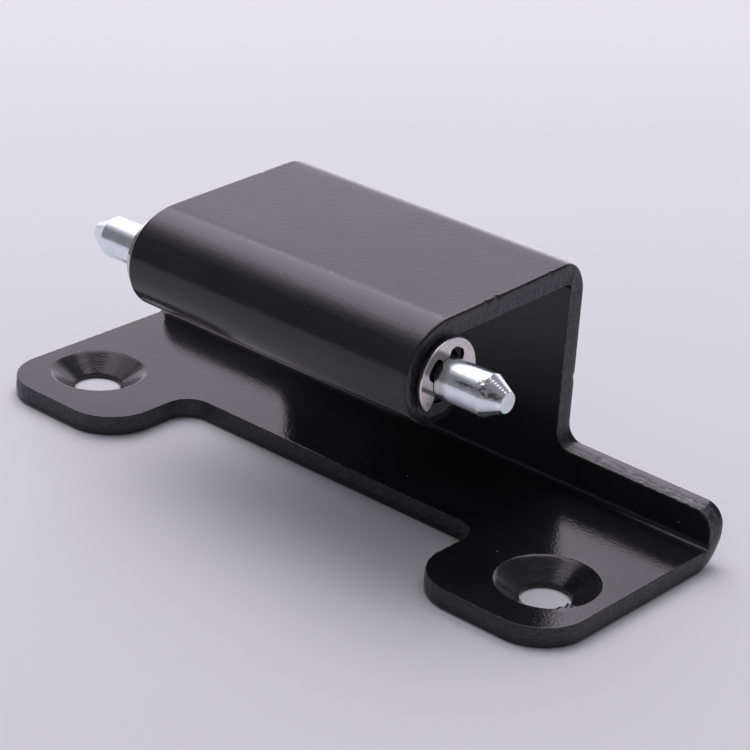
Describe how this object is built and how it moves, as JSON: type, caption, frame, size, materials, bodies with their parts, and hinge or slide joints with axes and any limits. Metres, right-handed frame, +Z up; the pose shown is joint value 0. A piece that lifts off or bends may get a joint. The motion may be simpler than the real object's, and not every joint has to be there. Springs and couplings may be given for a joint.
{
  "type": "concealed cabinet hinge leaf",
  "caption": "Folded steel hinge leaf with two countersunk mounting ears, an upright web and a curled knuckle that holds a through pin kept in place by E-type retaining rings.",
  "frame": {"origin": "middle of the bounding box's underside: on the mounting face, halfway along the plate and halfway across its depth", "axes": "+X along the hinge pin, +Y towards the back face of the wall and web, +Z up from the mounting face to the top plate"},
  "size_m": [0.105, 0.0378, 0.0363],
  "materials": {
    "black_paint": "glossy black paint with fine orange peel on bent steel",
    "zinc_plate": "bright blue-white zinc plate on turned steel",
    "ring_steel": "polished plain spring steel",
    "bush_plastic": "matt black plastic"
  },
  "bodies": {
    "bracket": {"bracket": "black_paint", "knuckle_bush": "bush_plastic"},
    "pin": {"hinge_pin": "zinc_plate", "e_clip_right": "ring_steel", "e_clip_left": "ring_steel"}
  },
  "joints": [
    {"name": "pin_turn", "type": "hinge", "parent": "bracket", "child": "pin", "pos_m": [0, -0.01076, 0.02783], "axis": [1, 0, 0], "continuous": true}
  ]
}
